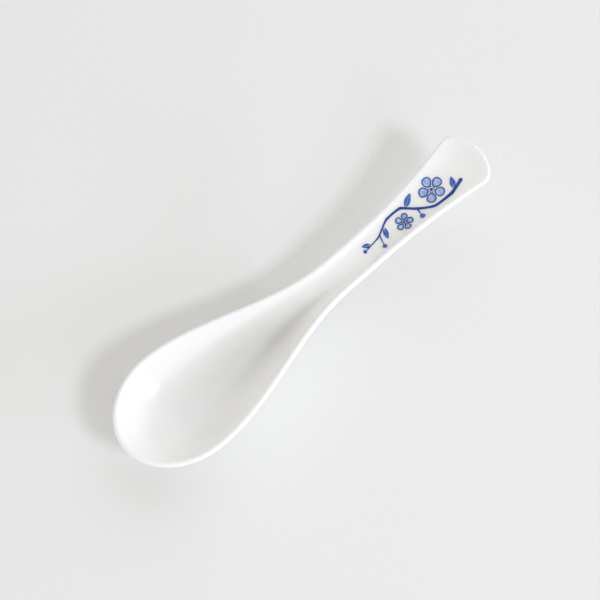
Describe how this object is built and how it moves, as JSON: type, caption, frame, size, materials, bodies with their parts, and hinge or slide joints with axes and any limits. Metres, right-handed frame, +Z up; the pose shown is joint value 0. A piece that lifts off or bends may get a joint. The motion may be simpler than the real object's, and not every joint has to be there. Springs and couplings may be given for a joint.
{
  "type": "chinese soup spoon",
  "caption": "Porcelain soup spoon with a deep teardrop bowl, a channelled handle that widens at its end, and a bare foot under the bowl to rest on.",
  "frame": {"origin": "under the middle of the spoon's length and width, on the table", "axes": "+X along the spoon from the bowl tip towards the handle end, +Y across it, +Z up from the table"},
  "size_m": [0.15, 0.0384, 0.027],
  "materials": {
    "bisque": "fired and unglazed, fine and matte",
    "glaze": "clear glossy glaze over white porcelain",
    "cobalt_line": "fired cobalt blue, glossy, dark line",
    "cobalt_mid": "fired cobalt blue, glossy, full wash",
    "cobalt_pale": "fired cobalt blue, glossy, thin pale wash"
  },
  "bodies": {
    "root": {"porcelain_body": "bisque", "clear_glaze": "glaze", "branch": "cobalt_line", "leaves": "cobalt_mid", "petal_lines": "cobalt_line", "petal_washes": "cobalt_pale", "blossom_centres": "cobalt_line", "stamens": "cobalt_line", "buds": "cobalt_mid"}
  },
  "joints": []
}
